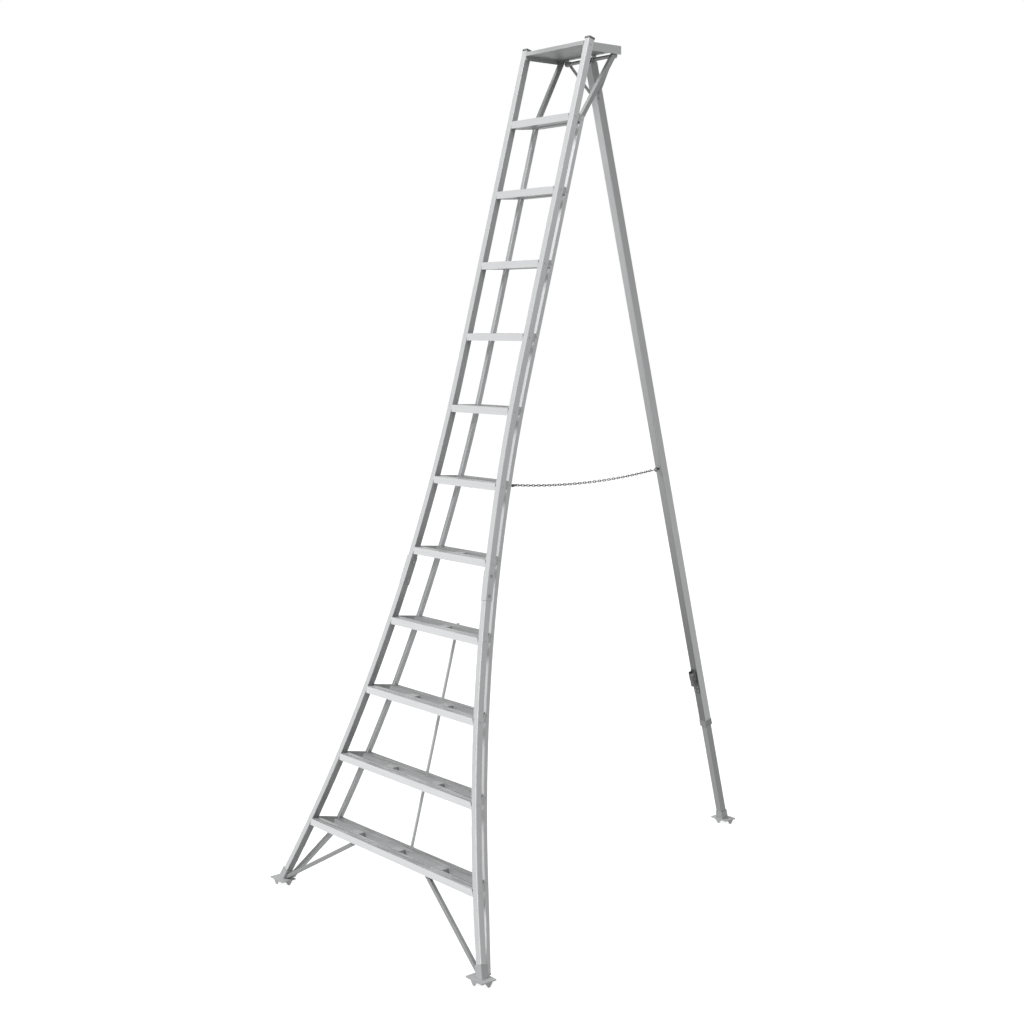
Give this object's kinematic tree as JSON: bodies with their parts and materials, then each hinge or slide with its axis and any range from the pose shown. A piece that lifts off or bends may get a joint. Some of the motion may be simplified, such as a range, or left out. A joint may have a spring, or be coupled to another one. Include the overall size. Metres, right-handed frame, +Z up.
{
  "type": "tripod ladder",
  "caption": "Tall tripod ladder with flared stiles, ribbed two-bar steps, a small top platform and a folding, telescoping rear leg held by a chain.",
  "frame": {"origin": "on the ground, midway between the front feet and the rear foot, on the plane of symmetry", "axes": "+Z up; +X to the right of a climber who faces the steps; +Y from the steps to the rear leg"},
  "size_m": [1.4954, 2.172, 3.6253],
  "materials": {
    "tube_aluminium": "satin mill-finish tube",
    "tread_aluminium": "satin extrusion with a ribbed top",
    "cast_aluminium": "dull welded plate",
    "rivet_aluminium": "smooth rivet heads",
    "plated_steel": "zinc plated, dull",
    "zinc_steel": "bright zinc plated",
    "grey_plastic": "moulded, matt"
  },
  "bodies": {
    "frame": {"chain_lug": "zinc_steel", "foot_braces": "tube_aluminium", "front_feet": "cast_aluminium", "hinge_plate": "plated_steel", "hinge_shaft": "plated_steel", "left_front_tube_lower": "tube_aluminium", "left_front_tube_upper": "tube_aluminium", "left_rear_rail": "tube_aluminium", "platform_braces": "tube_aluminium", "platform_frames": "tube_aluminium", "platform_planks": "tread_aluminium", "right_front_tube_lower": "tube_aluminium", "right_front_tube_upper": "tube_aluminium", "right_rear_rail": "tube_aluminium", "splice_bolts": "plated_steel", "splice_sleeves": "tube_aluminium", "step_01_front_bar": "tread_aluminium", "step_01_rear_bar": "tread_aluminium", "step_02_front_bar": "tread_aluminium", "step_02_rear_bar": "tread_aluminium", "step_03_front_bar": "tread_aluminium", "step_03_rear_bar": "tread_aluminium", "step_04_front_bar": "tread_aluminium", "step_04_rear_bar": "tread_aluminium", "step_05_front_bar": "tread_aluminium", "step_05_rear_bar": "tread_aluminium", "step_06_front_bar": "tread_aluminium", "step_06_rear_bar": "tread_aluminium", "step_07_front_bar": "tread_aluminium", "step_07_rear_bar": "tread_aluminium", "step_08_front_bar": "tread_aluminium", "step_08_rear_bar": "tread_aluminium", "step_09_front_bar": "tread_aluminium", "step_09_rear_bar": "tread_aluminium", "step_10_front_bar": "tread_aluminium", "step_10_rear_bar": "tread_aluminium", "step_11_front_bar": "tread_aluminium", "step_11_rear_bar": "tread_aluminium", "step_links": "tube_aluminium", "step_rivets": "rivet_aluminium", "step_spacers": "tube_aluminium", "tie_rod": "plated_steel", "tie_rod_clips": "plated_steel", "tube_caps": "grey_plastic"},
    "leg": {"leg_outer": "tube_aluminium", "leg_bush": "grey_plastic", "leg_cap": "grey_plastic", "leg_stays": "tube_aluminium", "stay_bolt": "plated_steel", "leg_collar": "grey_plastic", "lock_bracket": "plated_steel", "lock_pin": "plated_steel", "leg_eye": "zinc_steel"},
    "leg_end": {"leg_inner": "tube_aluminium", "leg_guide": "grey_plastic", "rear_foot": "cast_aluminium"},
    "lock": {"lock_lever": "plated_steel"},
    "chain": {"chain_shackle": "zinc_steel", "chain_links": "zinc_steel", "chain_hook": "zinc_steel"}
  },
  "joints": [
    {"name": "leg_fold", "type": "hinge", "parent": "frame", "child": "leg", "pos_m": [0, 0.14811, 3.573], "axis": [-1, 0, 0], "range_deg": [0, 29]},
    {"name": "leg_extend", "type": "slide", "parent": "leg", "child": "leg_end", "axis": [0, 0.2447, -0.9696], "range_m": [-0.4, 0.25]},
    {"name": "lock_lever", "type": "hinge", "parent": "leg", "child": "lock", "pos_m": [0, 0.82195, 0.76863], "axis": [-1, 0, 0], "range_deg": [0, 45]},
    {"name": "chain_swing", "type": "hinge", "parent": "frame", "child": "chain", "pos_m": [0.16094, -0.43297, 1.78828], "axis": [-0.847, 0.3022, -0.4373], "range_deg": [0, 103.1]}
  ],
  "couplings": [
    {"joint": "chain_swing", "follows": "leg_fold", "ratio": 3.553}
  ]
}
